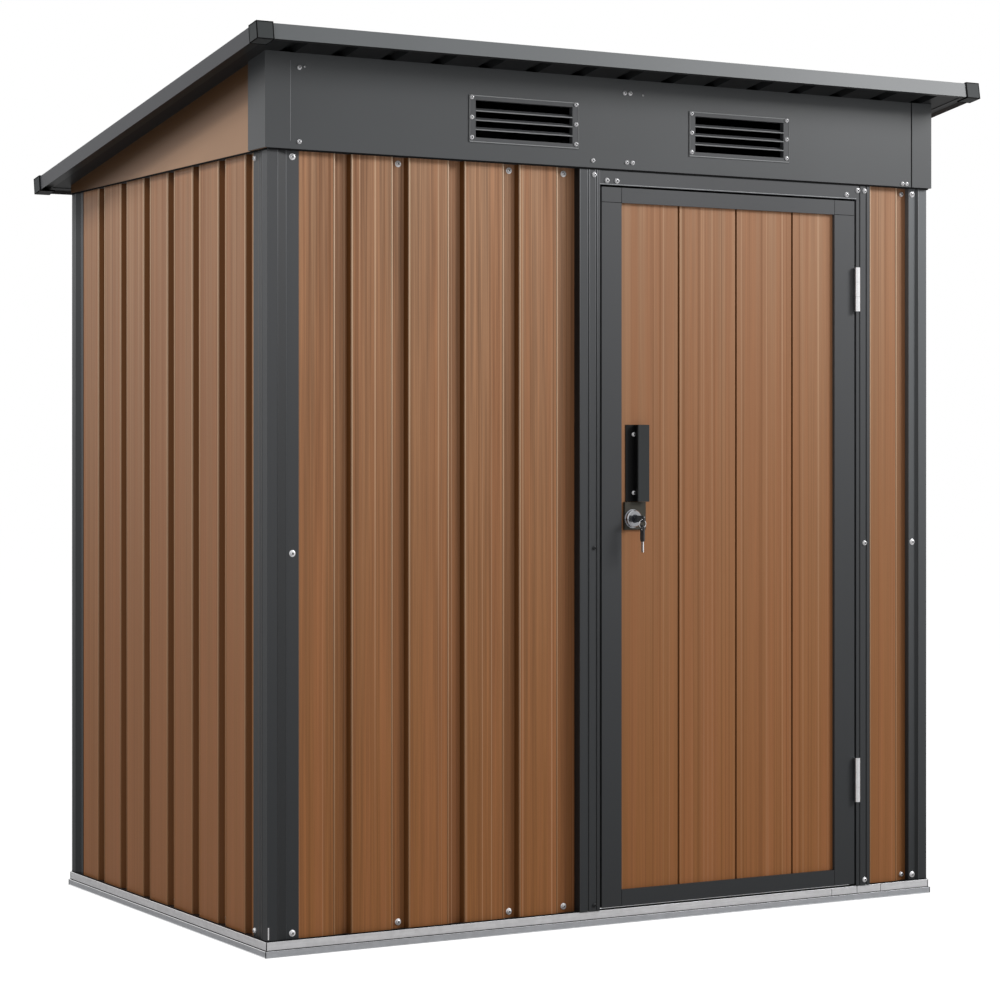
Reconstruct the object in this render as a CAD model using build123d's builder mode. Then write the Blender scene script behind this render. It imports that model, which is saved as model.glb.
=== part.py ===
from build123d import *

import os
from math import cos, radians, sin, tan

os.makedirs("parts", exist_ok=True)

# Lean-to metal storage shed with ribbed wall sheets, a vented fascia and one hinged door.
# Millimetres. X runs to the right along the front, Y to the back and Z up from the ground.
# Places along the front are measured from the left corner, places along a side from the front.

# Body
body_width = 1648.0
body_depth = 1070.0
wall_top = 1600.0

# Thickness of the folded steel
sheet_gauge = 1.0
frame_gauge = 1.2

# Galvanised base rails
rail_lip = 5.5
rail_band = 12.6
rail_step = 3.0
rail_height = 30.0
rail_foot = 45.0
rail_upstand = 34.0

# Rolled ribs of the wall sheets
rib_depth = 12.0
fold_run = 6.0
valley_mouth = 39.0
front_pitch = 130.3
side_pitch = 133.7
first_side_valley = 214.6
valley_beside_door = 49.0
narrow_ridge_offset = 3.2
narrow_valley_offset = 34.5

# Corner posts
post_flat = 23.0
post_recess = 5.8
wide_flange_start = 44.0
narrow_flange_start = 30.0
front_left_reach = 72.0
front_right_reach = 46.0
side_front_reach = 77.0
back_reach = 56.0
sheet_lap = 24.0
narrow_sheet_lap = 14.0

# Rails along the top of the walls
top_rail_web = 34.0
top_rail_proud = 1.0

# Doorway
doorway_width = 675.6
doorway_to_corner = 201.4
lock_post_width = 49.0
hinge_post_width = 37.4
door_proud = 4.0
post_foot_width = 23.0
stop_width = 14.0
groove_depth = 1.6
groove_half = 2.0
lock_post_grooves = (21.5, 41.4)
hinge_post_grooves = (9.5, 27.9)
lintel_height = 32.0
lintel_return = 12.0

# Door leaf
door_gap = 5.3
leaf_depth = 26.0
leaf_back_lip = 12.0
lock_stile_width = 49.5
hinge_stile_width = 54.6
door_top_rail_width = 32.0
door_bottom_rail_width = 35.0
panel_recess = 8.0
panel_return = 12.0
panel_lap = 10.0
plank_width = 150.0
panel_groove_depth = 3.0
panel_groove_half = 2.5

# Door handle
handle_offset = 14.0
handle_base = 24.0
handle_reach = 16.0
handle_grip = 26.0
handle_gauge = 1.5
handle_lift = 36.0
handle_height = 164.0

# Lock
lock_offset = 27.5
lock_height = 859.0
case_offset = 9.0
case_width = 54.0
case_drop = 24.0
case_gap = 0.5
case_depth = 6.0
case_edge = 1.2
bezel_radius = 18.3
bezel_length = 12.0
bezel_edge = 2.0
bezel_foot_radius = 20.0
bezel_foot = 2.5
barrel_radius = 11.0
barrel_back = 18.0
barrel_fit = 0.1
plug_radius = 9.0
plug_fit = 0.05
plug_proud = 1.0
spindle_side = 8.0
spindle_fit = 0.1
cam_standoff = 30.0
cam_gauge = 2.5
cam_width = 16.0
cam_length = 82.0

# Keys
blade_gauge = 2.0
blade_width = 7.6
blade_fit = 0.1
blade_inside = 21.5
blade_outside = 1.0
bow_gauge = 3.0
bow_length = 35.0
bow_width = 14.0
bow_round = 5.0
bow_hole = 3.0
bow_hole_rim = 8.0
ring_radius = 8.5
ring_wire = 0.75
ring_wire_sides = 8
ring_seat = 0.15

# Hinges
hinge_radius = 6.5
hinge_standoff = 1.0
hinge_length = 98.0
lower_hinge_inset = 184.7
upper_hinge_inset = 148.7
hinge_plate = 1.5
hinge_plate_depth = 18.0
pin_radius = 3.0
pin_fit = 0.05
knuckle_gap = 0.4
knuckles = 3

# Roof
roof_pitch = 9.1
back_rise = 20.1
front_overhang = 102.0
back_overhang = 58.0
side_overhang = 67.5
edge_rise = 24.0
edge_drop = 7.5
edge_top_width = 20.0
edge_return = 9.0
edge_seat = 30.0
roof_fit = 1.0
roof_rib_pitch = 112.0
roof_rib_base = 34.0
roof_rib_top = 20.0
roof_rib_height = 12.0
cap_length = 34.0
cap_wall = 2.0
beam_depth = 35.0
beam_width = 25.0

# Fascia, its corner trims and the gables
fascia_proud = 7.0
fascia_seam = 1.5
fascia_joint_offset = 14.5
gable_proud = 2.0
trim_front_leg = 47.0
trim_side_leg = 73.0

# Vents in the fascia
vent_to_joint = (121.5, 156.5)
vent_lift = 36.5
vent_width = 265.0
vent_height = 98.0
vent_border = 14.0
vent_border_edge = 8.5
vent_plate = 1.5
vent_sleeve = 12.0
vent_sleeve_wall = 1.5
vent_fit = 0.3
louvre_count = 3
louvre_depth = 13.0
louvre_gauge = 1.2
louvre_angle = 32.0

# Depths behind the flat faces of the corner posts
ridge_depth = post_recess + frame_gauge
valley_depth = ridge_depth + rib_depth
sheet_back = valley_depth + sheet_gauge
door_face = -door_proud
panel_face = door_face + panel_recess
stop_face = door_face + leaf_depth + door_gap
fascia_face = -fascia_proud
top_rail_face = -top_rail_proud
gable_face = -gable_proud

# The roof's slope, and the body placed so that the finished shed is centred on the origin
slope = radians(roof_pitch)
roof_width = body_width + 2 * side_overhang
roof_depth = front_overhang + body_depth + back_overhang
roof_run = roof_depth / cos(slope)
roof_front = -(roof_depth + (edge_rise - edge_drop) * sin(slope)) / 2
body_front = roof_front + front_overhang
body_back = body_front + body_depth
body_left = -body_width / 2
body_right = body_width / 2
body_middle = (body_front + body_back) / 2
roof_up = Vector(0, sin(slope), cos(slope))
downhill = Vector(0, cos(slope), -sin(slope))
to_right = Vector(1, 0, 0)
to_back = Vector(0, 1, 0)
to_sky = Vector(0, 0, 1)


def roof_under(y):
    """Height of the underside of the roof sheet's flat strips at a depth y."""
    return wall_top + back_rise + tan(slope) * (body_back + top_rail_proud - y)


# Places along the front, from the left corner
doorway_right = body_width - doorway_to_corner
doorway_left = doorway_right - doorway_width
lock_post_left = doorway_left - lock_post_width
hinge_post_right = doorway_right + hinge_post_width
front_sheet_end = lock_post_left + post_foot_width
narrow_sheet_start = hinge_post_right - post_foot_width
leaf_left = doorway_left + door_gap
leaf_right = doorway_right - door_gap
panel_left = leaf_left + lock_stile_width
panel_right = leaf_right - hinge_stile_width
panel_width = panel_right - panel_left
lock_place = panel_left + lock_offset
fascia_joint = body_width / 2 + fascia_joint_offset
vent_lefts = (fascia_joint - vent_to_joint[0] - vent_width, fascia_joint + vent_to_joint[1])

# Heights
lintel_bottom = wall_top - lintel_height
leaf_bottom = rail_height + door_gap
leaf_top = lintel_bottom - door_gap
handle_bottom = lock_height + handle_lift
case_bottom = lock_height - case_drop
hinge_bottoms = (leaf_bottom + lower_hinge_inset, leaf_top - upper_hinge_inset - hinge_length)
fascia_bottom = wall_top + fascia_seam
roof_front_height = roof_under(roof_front)
roof_mid_height = roof_under(roof_front + roof_depth / 2)

# Planes at the front left corner: seen from above at the foot of the walls, and seen from its left end
front_plan = Plane(origin=(body_left, body_front, rail_height), x_dir=to_right, z_dir=to_sky)
front_end = Plane(origin=(body_left, body_front, 0), x_dir=to_back, z_dir=to_right)
roof_plane = Plane(origin=(0, roof_front + roof_depth / 2, roof_mid_height), x_dir=to_right, z_dir=roof_up)


def save(piece, name):
    """Name a finished piece and write it to its own file."""
    piece.part.label = name
    export_step(piece.part, f"parts/{name}.step")


def strip_section(plane, points, gauge):
    """Section of a folded strip: one side of it as an open outline, with its thickness to the left."""
    corners = [Vector(*point) for point in points]
    runs = [(end - start).normalized() for start, end in zip(corners, corners[1:])]
    lefts = [Vector(-run.Y, run.X) for run in runs]
    other_side = []
    for corner, before, after in zip(corners, [lefts[0]] + lefts, lefts + [lefts[-1]]):
        other_side.append(corner + (before + after) * (gauge / (1 + before.dot(after))))
    with BuildSketch(plane) as section:
        with BuildLine():
            Polyline(*corners, *reversed(other_side), close=True)
        make_face()
    return section.sketch


def rectangle_sides(plane, width, depth):
    """Corner, direction, inward direction and length of each side of a rectangle centred on a plane."""
    across = plane.x_dir
    along = plane.y_dir
    front_left = plane.origin - across * (width / 2) - along * (depth / 2)
    front_right = front_left + across * width
    back_left = front_left + along * depth
    back_right = front_right + along * depth
    return {
        "front": (front_left, across, along, width),
        "right": (front_right, along, across * -1, depth),
        "back": (back_right, across * -1, along * -1, width),
        "left": (back_left, along * -1, across, depth),
    }


def mitred_strip(corner, along, inward, length, points):
    """Add one side of a four-sided frame, a folded strip cut on the diagonal at both ends."""
    end_plane = Plane(origin=corner, x_dir=inward, z_dir=along)
    extrude(strip_section(end_plane, points, frame_gauge), amount=length)
    split(bisect_by=Plane(origin=corner, z_dir=along - inward))
    split(bisect_by=Plane(origin=corner + along * length, z_dir=(along + inward) * -1))


def cut_doorway(low, high):
    """Clear a rail behind the front wall between the edges of the two wall sheets."""
    with BuildSketch(front_end.offset(front_sheet_end)) as notch:
        with Locations((sheet_back + frame_gauge, (low + high) / 2)):
            Rectangle(2 * frame_gauge, high - low)
    extrude(notch.sketch, amount=narrow_sheet_start - front_sheet_end, mode=Mode.SUBTRACT)


# Base rails: a foot on the ground, a stepped lip outside and an upstand behind the wall sheets
upstand_place = rail_lip + sheet_back
rail_outline = [
    (upstand_place, rail_height + rail_upstand),
    (upstand_place, rail_height),
    (rail_step, rail_height),
    (rail_step, rail_band),
    (0, rail_band),
    (0, 0),
    (rail_foot, 0),
]
ground = Plane(origin=(0, body_middle, 0), x_dir=to_right, z_dir=to_sky)
rail_sides = rectangle_sides(ground, body_width + 2 * rail_lip, body_depth + 2 * rail_lip)
for side, (corner, along, inward, length) in rail_sides.items():
    with BuildPart() as base_rail:
        mitred_strip(corner, along, inward, length, rail_outline)
        if side == "front":
            cut_doorway(rail_height, rail_height + 2 * rail_upstand)
    save(base_rail, f"base_rail_{side}")

# Top rails: a web behind the wall sheets, a flat over them and an upstand for the fascia and gables
top_rail_outline = [
    (0, back_rise),
    (0, 0),
    (top_rail_proud + sheet_back, 0),
    (top_rail_proud + sheet_back, -top_rail_web),
]
wall_head = Plane(origin=(0, body_middle, wall_top), x_dir=to_right, z_dir=to_sky)
top_sides = rectangle_sides(wall_head, body_width + 2 * top_rail_proud, body_depth + 2 * top_rail_proud)
for side, (corner, along, inward, length) in top_sides.items():
    with BuildPart() as top_rail:
        mitred_strip(corner, along, inward, length, top_rail_outline)
        if side == "front":
            cut_doorway(wall_top - 2 * top_rail_web, wall_top)
    save(top_rail, f"top_rail_{side}")


def corner_plane(side, end):
    """Plane at a corner, with x along the front or back wall and y along the side wall, both inward."""
    height = rail_height if side * end > 0 else wall_top
    return Plane(
        origin=(-side * body_width / 2, body_middle - end * body_depth / 2, height),
        x_dir=(side, 0, 0),
        z_dir=(0, 0, side * end),
    )


def post_flange(reach, start, is_over_valley):
    """One wing of a corner post as (distance from the corner, depth), from its edge to the corner's flat."""
    edge = [(reach, valley_depth)] if is_over_valley else []
    return edge + [(reach, post_recess), (start, post_recess), (post_flat, 0)]


def post_outline(end_wing, side_wing):
    """Outline of a corner post from the edge of its side wing round the corner to its front or back edge."""
    return [(depth, place) for place, depth in side_wing] + [(0, 0)] + end_wing[::-1]


# Corner posts: a flat corner, a sloping bead and a recessed flange on each wall
front_side_wing = post_flange(side_front_reach, wide_flange_start, False)
back_wing = post_flange(back_reach, wide_flange_start, False)
posts = {
    "front_left": (1, 1, post_flange(front_left_reach, wide_flange_start, False), front_side_wing),
    "front_right": (-1, 1, post_flange(front_right_reach, narrow_flange_start, True), front_side_wing),
    "back_left": (1, -1, back_wing, back_wing),
    "back_right": (-1, -1, back_wing, back_wing),
}
post_height = wall_top - rail_height
for name, (side, end, end_wing, side_wing) in posts.items():
    with BuildPart() as corner_post:
        post_section = strip_section(corner_plane(side, end), post_outline(end_wing, side_wing), frame_gauge)
        extrude(post_section, amount=post_height)
    save(corner_post, f"corner_post_{name}")


def sheet_outline(start, end, first_valley, pitch, last_fold):
    """Outer face of a ribbed wall sheet from above, with a valley at every pitch up to its last fold."""
    into_valley = (start - first_valley) % pitch
    points = [(start, valley_depth if into_valley < valley_mouth else ridge_depth)]
    valley = start - into_valley
    while valley < last_fold:
        folds = [
            (valley, ridge_depth),
            (valley + fold_run, valley_depth),
            (valley + valley_mouth - fold_run, valley_depth),
            (valley + valley_mouth, ridge_depth),
        ]
        points += [fold for fold in folds if start < fold[0] < last_fold]
        valley += pitch
    return points + [(end, points[-1][1])]


# Wall sheets, from the top of the base rails to the top rails
right_plan = Plane(origin=(body_right, body_front, rail_height), x_dir=to_back, z_dir=to_sky)
back_plan = Plane(origin=(body_right, body_back, rail_height), x_dir=to_right * -1, z_dir=to_sky)
front_sheet_start = front_left_reach - sheet_lap
narrow_sheet_end = body_width - front_right_reach + narrow_sheet_lap
side_sheet_start = side_front_reach - sheet_lap
side_sheet_end = body_depth - back_reach + sheet_lap
back_sheet_start = back_reach - sheet_lap
back_sheet_end = body_width - back_sheet_start
last_front_valley = lock_post_left - valley_beside_door
last_front_fold = last_front_valley + valley_mouth / 2
narrow_ridge = hinge_post_right + narrow_ridge_offset
narrow_valley = body_width - front_right_reach - narrow_valley_offset

with BuildPart() as front_wall_sheet:
    front_span = (front_sheet_start, front_sheet_end)
    front_run = sheet_outline(*front_span, last_front_valley, front_pitch, last_front_fold)
    extrude(strip_section(front_plan, front_run, sheet_gauge), amount=post_height)
save(front_wall_sheet, "front_wall_sheet")

with BuildPart() as front_narrow_sheet:
    narrow_run = [
        (narrow_sheet_start, valley_depth),
        (narrow_ridge, valley_depth),
        (narrow_ridge + fold_run, ridge_depth),
        (narrow_valley, ridge_depth),
        (narrow_valley + fold_run, valley_depth),
        (narrow_sheet_end, valley_depth),
    ]
    extrude(strip_section(front_plan, narrow_run, sheet_gauge), amount=post_height)
save(front_narrow_sheet, "front_narrow_sheet")

with BuildPart() as right_wall_sheet:
    side_run = sheet_outline(side_sheet_start, side_sheet_end, first_side_valley, side_pitch, side_sheet_end)
    extrude(strip_section(right_plan, side_run, sheet_gauge), amount=post_height)
save(right_wall_sheet, "right_wall_sheet")

with BuildPart() as left_wall_sheet:
    mirror(right_wall_sheet.part, about=Plane.YZ)
save(left_wall_sheet, "left_wall_sheet")

with BuildPart() as back_wall_sheet:
    back_run = sheet_outline(back_sheet_start, back_sheet_end, last_front_valley, front_pitch, back_sheet_end)
    extrude(strip_section(back_plan, back_run, sheet_gauge), amount=post_height)
save(back_wall_sheet, "back_wall_sheet")


def groove(place, depth, half, sink):
    """Three points of a shallow V pressed into a face at a place."""
    return [(place - half, depth), (place, depth + sink), (place + half, depth)]


def post_face(left, grooves):
    """Points of the stiffening grooves in a door post's face, from left to right."""
    points = []
    for place in grooves:
        points += groove(left + place, door_face, groove_half, groove_depth)
    return points


# Door posts: folded channels whose foot lies on the wall sheet and whose stop stands behind the leaf
lock_post_outline = (
    [(front_sheet_end, valley_depth), (lock_post_left, valley_depth), (lock_post_left, door_face)]
    + post_face(lock_post_left, lock_post_grooves)
    + [(doorway_left, door_face), (doorway_left, stop_face), (doorway_left + stop_width, stop_face)]
)
with BuildPart() as door_post_lock_side:
    extrude(strip_section(front_plan, lock_post_outline, frame_gauge), amount=post_height)
save(door_post_lock_side, "door_post_lock_side")

hinge_post_outline = (
    [(doorway_right - stop_width, stop_face), (doorway_right, stop_face), (doorway_right, door_face)]
    + post_face(doorway_right, hinge_post_grooves)
    + [(hinge_post_right, door_face), (hinge_post_right, valley_depth), (narrow_sheet_start, valley_depth)]
)
with BuildPart() as door_post_hinge_side:
    extrude(strip_section(front_plan, hinge_post_outline, frame_gauge), amount=post_height)
save(door_post_hinge_side, "door_post_hinge_side")

# Lintel between the door posts
lintel_outline = [
    (sheet_back, wall_top),
    (door_face, wall_top),
    (door_face, lintel_bottom),
    (stop_face, lintel_bottom),
    (stop_face, lintel_bottom + lintel_return),
]
with BuildPart() as door_lintel:
    extrude(strip_section(front_end.offset(doorway_left), lintel_outline, frame_gauge), amount=doorway_width)
save(door_lintel, "door_lintel")


def trim_to_roof():
    """Cut the piece being made along the underside of the roof sheet."""
    split(bisect_by=roof_plane, keep=Keep.BOTTOM)


# Fascia in two halves, each with a bottom lip against the top rail and an opening for its vent
fascia_outline = [
    (fascia_face, roof_front_height),
    (fascia_face, fascia_bottom),
    (top_rail_face, fascia_bottom),
]
fascia_spans = {"left": (gable_face, fascia_joint), "right": (fascia_joint, body_width + gable_proud)}
vent_middle = fascia_bottom + vent_lift + vent_height / 2
opening_width = vent_width - 2 * vent_border
opening_height = vent_height - 2 * vent_border_edge
for (side, (start, end)), vent_left in zip(fascia_spans.items(), vent_lefts):
    with BuildPart() as fascia:
        extrude(strip_section(front_end.offset(start), fascia_outline, frame_gauge), amount=end - start)
        trim_to_roof()
        with BuildSketch(front_end.offset(vent_left + vent_border)) as opening:
            with Locations((fascia_face, vent_middle)):
                Rectangle(2 * vent_sleeve, opening_height)
        extrude(opening.sketch, amount=opening_width, mode=Mode.SUBTRACT)
    save(fascia, f"fascia_{side}")

# Corner trims of the fascia, each with a hem that closes it on the gable
trim_face = fascia_face - frame_gauge
trim_outline = [
    (gable_face, trim_side_leg),
    (trim_face, trim_side_leg),
    (trim_face, trim_face),
    (trim_front_leg, trim_face),
]
trim_plan = Plane(origin=(body_left, body_front, fascia_bottom), x_dir=to_right, z_dir=to_sky)
with BuildPart() as fascia_trim_left:
    extrude(strip_section(trim_plan, trim_outline, frame_gauge), amount=roof_front_height - fascia_bottom)
    trim_to_roof()
save(fascia_trim_left, "fascia_trim_left")

with BuildPart() as fascia_trim_right:
    mirror(fascia_trim_left.part, about=Plane.YZ)
save(fascia_trim_right, "fascia_trim_right")

# Gables, cut to the slope of the roof
gable_length = body_depth + 2 * top_rail_proud
gable_foot = (body_left + gable_face, body_middle, fascia_bottom)
with BuildPart() as gable_left:
    with BuildSketch(Plane(origin=gable_foot, x_dir=to_back, z_dir=to_right)):
        Rectangle(gable_length, roof_front_height - fascia_bottom, align=(Align.CENTER, Align.MIN))
    extrude(amount=gable_proud - top_rail_proud)
    trim_to_roof()
save(gable_left, "gable_left")

with BuildPart() as gable_right:
    mirror(gable_left.part, about=Plane.YZ)
save(gable_right, "gable_right")

# Vent frames: a flat border on the fascia and a sleeve through its opening
fascia_front = Plane(origin=(body_left, body_front + fascia_face, 0), x_dir=to_right, z_dir=to_back * -1)
vent_places = [(left + vent_width / 2, vent_middle) for left in vent_lefts]
sleeve_width = opening_width - 2 * vent_fit
sleeve_height = opening_height - 2 * vent_fit
clear_width = sleeve_width - 2 * vent_sleeve_wall
clear_height = sleeve_height - 2 * vent_sleeve_wall
with BuildPart() as vent_frames:
    with BuildSketch(fascia_front):
        with Locations(vent_places):
            RectangleRounded(vent_width, vent_height, vent_sleeve_wall)
    extrude(amount=vent_plate)
    with BuildSketch(fascia_front):
        with Locations(vent_places):
            Rectangle(sleeve_width, sleeve_height)
    extrude(amount=-vent_sleeve)
    with BuildSketch(fascia_front.offset(vent_plate)):
        with Locations(vent_places):
            Rectangle(clear_width, clear_height)
    extrude(amount=-vent_plate - vent_sleeve, mode=Mode.SUBTRACT)
save(vent_frames, "vent_frames")

# Louvre blades between the sides of each sleeve, sloping down to the outside
louvre_pitch = clear_height / (louvre_count + 1)
with BuildPart() as vent_louvres:
    for vent_left in vent_lefts:
        blade_start = vent_left + (vent_width - clear_width) / 2
        with BuildSketch(front_end.offset(blade_start)):
            with Locations((fascia_face + (vent_sleeve - vent_plate) / 2, vent_middle)):
                with GridLocations(louvre_pitch, louvre_pitch, 1, louvre_count):
                    Rectangle(louvre_depth, louvre_gauge, rotation=louvre_angle)
        extrude(amount=clear_width)
save(vent_louvres, "vent_louvres")

# Roof edge trims: a face, a top flange and a folded return that carries the edge of the roof sheet
edge_outline = [
    (edge_top_width, edge_rise),
    (0, edge_rise),
    (0, -edge_drop),
    (edge_return, -frame_gauge),
    (edge_seat, -frame_gauge),
]
roof_sides = rectangle_sides(roof_plane, roof_width, roof_run)
for side, (corner, along, inward, length) in roof_sides.items():
    with BuildPart() as roof_edge:
        mitred_strip(corner, along, inward, length, edge_outline)
    save(roof_edge, f"roof_edge_{side}")

# Corner caps: open boxes over the mitres of the roof's edge
cap_size = cap_length + cap_wall
cap_height = edge_rise + edge_drop
cap_spacing_x = roof_width + 2 * cap_wall - cap_size
cap_spacing_y = roof_run + 2 * cap_wall - cap_size
with BuildPart() as roof_corner_caps:
    with BuildSketch(roof_plane.offset(-edge_drop - cap_wall)):
        with GridLocations(cap_spacing_x, cap_spacing_y, 2, 2):
            Rectangle(cap_size, cap_size)
    extrude(amount=cap_height + 2 * cap_wall)
    with BuildSketch(roof_plane.offset(-edge_drop)):
        Rectangle(roof_width, roof_run)
    extrude(amount=cap_height, mode=Mode.SUBTRACT)
save(roof_corner_caps, "roof_corner_caps")

# Roof sheet, ribbed down the slope, lying on the returns of the edge trims
sheet_inset = frame_gauge + roof_fit
roof_sheet_width = roof_width - 2 * sheet_inset
roof_section_plane = Plane(
    origin=roof_plane.origin - downhill * (roof_run / 2 - sheet_inset), x_dir=to_right * -1, z_dir=downhill
)
roof_ribs = int((roof_width - 2 * edge_seat) // roof_rib_pitch)
rib_points = [(-roof_sheet_width / 2, 0)]
for rib in range(roof_ribs):
    middle = (rib - (roof_ribs - 1) / 2) * roof_rib_pitch
    rib_points += [
        (middle - roof_rib_base / 2, 0),
        (middle - roof_rib_top / 2, roof_rib_height),
        (middle + roof_rib_top / 2, roof_rib_height),
        (middle + roof_rib_base / 2, 0),
    ]
rib_points += [(roof_sheet_width / 2, 0)]
with BuildPart() as roof_sheet:
    extrude(strip_section(roof_section_plane, rib_points, sheet_gauge), amount=roof_run - 2 * sheet_inset)
save(roof_sheet, "roof_sheet")

# Roof beam, a channel under the middle of the roof sheet from gable to gable
beam_outline = [(beam_width, 0), (0, 0), (0, -beam_depth), (beam_width, -beam_depth)]
beam_span = body_width + 2 * top_rail_proud
beam_plane = Plane(
    origin=(-beam_span / 2, body_middle, roof_under(body_middle)), x_dir=downhill, z_dir=to_right
)
with BuildPart() as roof_beam:
    extrude(strip_section(beam_plane, beam_outline, frame_gauge), amount=beam_span)
save(roof_beam, "roof_beam")


def leaf_member(width, outer, inward):
    """Outline of a member of the door leaf: back lip, outer wall, face and a return behind the panel."""
    run = [
        (outer + inward * leaf_back_lip, door_face + leaf_depth),
        (outer, door_face + leaf_depth),
        (outer, door_face),
        (outer + inward * width, door_face),
        (outer + inward * width, panel_face),
        (outer + inward * (width - panel_return), panel_face),
    ]
    return run if inward > 0 else run[::-1]


# Door leaf: two stiles with the rails between them
leaf_plan = front_plan.offset(door_gap)
leaf_height = leaf_top - leaf_bottom
with BuildPart() as door_lock_stile:
    lock_stile_outline = leaf_member(lock_stile_width, leaf_left, 1)
    extrude(strip_section(leaf_plan, lock_stile_outline, frame_gauge), amount=leaf_height)
save(door_lock_stile, "door_lock_stile")

with BuildPart() as door_hinge_stile:
    hinge_stile_outline = leaf_member(hinge_stile_width, leaf_right, -1)
    extrude(strip_section(leaf_plan, hinge_stile_outline, frame_gauge), amount=leaf_height)
save(door_hinge_stile, "door_hinge_stile")

rail_plane = front_end.offset(panel_left)


def rail_section(width, outer, inward):
    """Section of a door rail, seen from its left end."""
    outline = [(depth, height) for height, depth in leaf_member(width, outer, inward)]
    return strip_section(rail_plane, outline[::-1], frame_gauge)


with BuildPart() as door_bottom_rail:
    extrude(rail_section(door_bottom_rail_width, leaf_bottom, 1), amount=panel_width)
save(door_bottom_rail, "door_bottom_rail")

with BuildPart() as door_top_rail:
    extrude(rail_section(door_top_rail_width, leaf_top, -1), amount=panel_width)
save(door_top_rail, "door_top_rail")

# Door panel with pressed plank grooves, its edges behind the frame's returns
panel_points = [(panel_left - panel_lap, panel_face)]
for plank in range(int(panel_width // plank_width)):
    seam = panel_left + (plank + 1) * plank_width
    panel_points += groove(seam, panel_face, panel_groove_half, panel_groove_depth)
panel_points += [(panel_right + panel_lap, panel_face)]
panel_bottom = leaf_bottom + door_bottom_rail_width - panel_lap
panel_top = leaf_top - door_top_rail_width + panel_lap
lock_plane = Plane(
    origin=(body_left + lock_place, body_front + panel_face, lock_height), x_dir=to_right, z_dir=to_back * -1
)
with BuildPart() as door_panel:
    panel_plan = front_plan.offset(panel_bottom - rail_height)
    extrude(strip_section(panel_plan, panel_points, sheet_gauge), amount=panel_top - panel_bottom)
    with BuildSketch(lock_plane):
        Circle(barrel_radius + barrel_fit)
    extrude(amount=-barrel_back, mode=Mode.SUBTRACT)
save(door_panel, "door_panel")

# Door handle, a Z fold screwed to the panel
handle_left = panel_left + handle_offset
handle_outline = [
    (handle_left + handle_base + handle_grip, panel_face - handle_reach),
    (handle_left + handle_base, panel_face - handle_reach),
    (handle_left + handle_base, panel_face),
    (handle_left, panel_face),
]
with BuildPart() as door_handle:
    handle_plan = front_plan.offset(handle_bottom - rail_height)
    extrude(strip_section(handle_plan, handle_outline, handle_gauge), amount=handle_height)
save(door_handle, "door_handle")

# Lock case, a flat box under the handle
case_height = handle_bottom - case_gap - case_bottom
with BuildPart() as lock_case:
    case_middle = (case_offset + case_width / 2 - lock_offset, case_bottom + case_height / 2 - lock_height)
    with BuildSketch(lock_plane):
        with Locations(case_middle):
            Rectangle(case_width, case_height)
    extrude(amount=case_depth)
    chamfer(lock_case.faces().sort_by(Axis.Y)[0].edges(), case_edge)
    with BuildSketch(lock_plane):
        Circle(barrel_radius + barrel_fit)
    extrude(amount=case_depth, mode=Mode.SUBTRACT)
save(lock_case, "lock_case")

# Lock barrel, with its bezel and the bezel's wider foot in front of the case
with BuildPart() as lock_barrel:
    with BuildSketch(lock_plane.offset(-barrel_back)):
        Circle(barrel_radius)
    extrude(amount=barrel_back + case_depth)
    with BuildSketch(lock_plane.offset(case_depth)):
        Circle(bezel_foot_radius)
    extrude(amount=bezel_foot)
    with BuildSketch(lock_plane.offset(case_depth + bezel_foot)):
        Circle(bezel_radius)
    extrude(amount=bezel_length - bezel_foot)
    chamfer(lock_barrel.faces().sort_by(Axis.Y)[0].edges(), bezel_edge)
    with BuildSketch(lock_plane.offset(-barrel_back)):
        Circle(plug_radius + plug_fit)
    extrude(amount=barrel_back + case_depth + bezel_length, mode=Mode.SUBTRACT)
save(lock_barrel, "lock_barrel")

# Lock plug with its keyway, and a square spindle to the cam
plug_face = case_depth + bezel_length + plug_proud
with BuildPart() as lock_plug:
    with BuildSketch(lock_plane.offset(-barrel_back)):
        Circle(plug_radius)
    extrude(amount=barrel_back + plug_face)
    with BuildSketch(lock_plane.offset(-cam_standoff - cam_gauge)):
        Rectangle(spindle_side, spindle_side)
    extrude(amount=cam_standoff + cam_gauge - barrel_back)
    with BuildSketch(lock_plane.offset(plug_face)):
        Rectangle(blade_gauge + 2 * blade_fit, blade_width + 2 * blade_fit)
    extrude(amount=-blade_inside - blade_fit, mode=Mode.SUBTRACT)
save(lock_plug, "lock_plug")

# Cam on the spindle, hanging down while the door is unlocked
with BuildPart() as lock_cam:
    with BuildSketch(lock_plane.offset(-cam_standoff)):
        with Locations((0, -cam_length / 2)):
            SlotCenterToCenter(cam_length, cam_width, rotation=90)
        hole_side = spindle_side + 2 * spindle_fit
        Rectangle(hole_side, hole_side, mode=Mode.SUBTRACT)
    extrude(amount=-cam_gauge)
save(lock_cam, "lock_cam")

# Key in the lock: blade, rounded bow and the hole that its ring hangs in
key_side = Plane(origin=lock_plane.origin, x_dir=to_back * -1, z_dir=to_right * -1)
bow_start = plug_face + blade_outside
blade_length = blade_inside + blade_outside
ring_place = bow_start + bow_length - bow_hole_rim
with BuildPart() as door_key:
    with BuildSketch(key_side):
        with Locations((plug_face - blade_inside, 0)):
            Rectangle(blade_length + bow_round, blade_width, align=(Align.MIN, Align.CENTER))
    extrude(amount=blade_gauge / 2, both=True)
    with BuildSketch(key_side):
        with Locations((bow_start + bow_length / 2, 0)):
            RectangleRounded(bow_length, bow_width, bow_round)
    extrude(amount=bow_gauge / 2, both=True)
    with BuildSketch(key_side):
        with Locations((ring_place, 0)):
            Circle(bow_hole)
    extrude(amount=bow_gauge / 2, both=True, mode=Mode.SUBTRACT)
save(door_key, "door_key")

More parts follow.
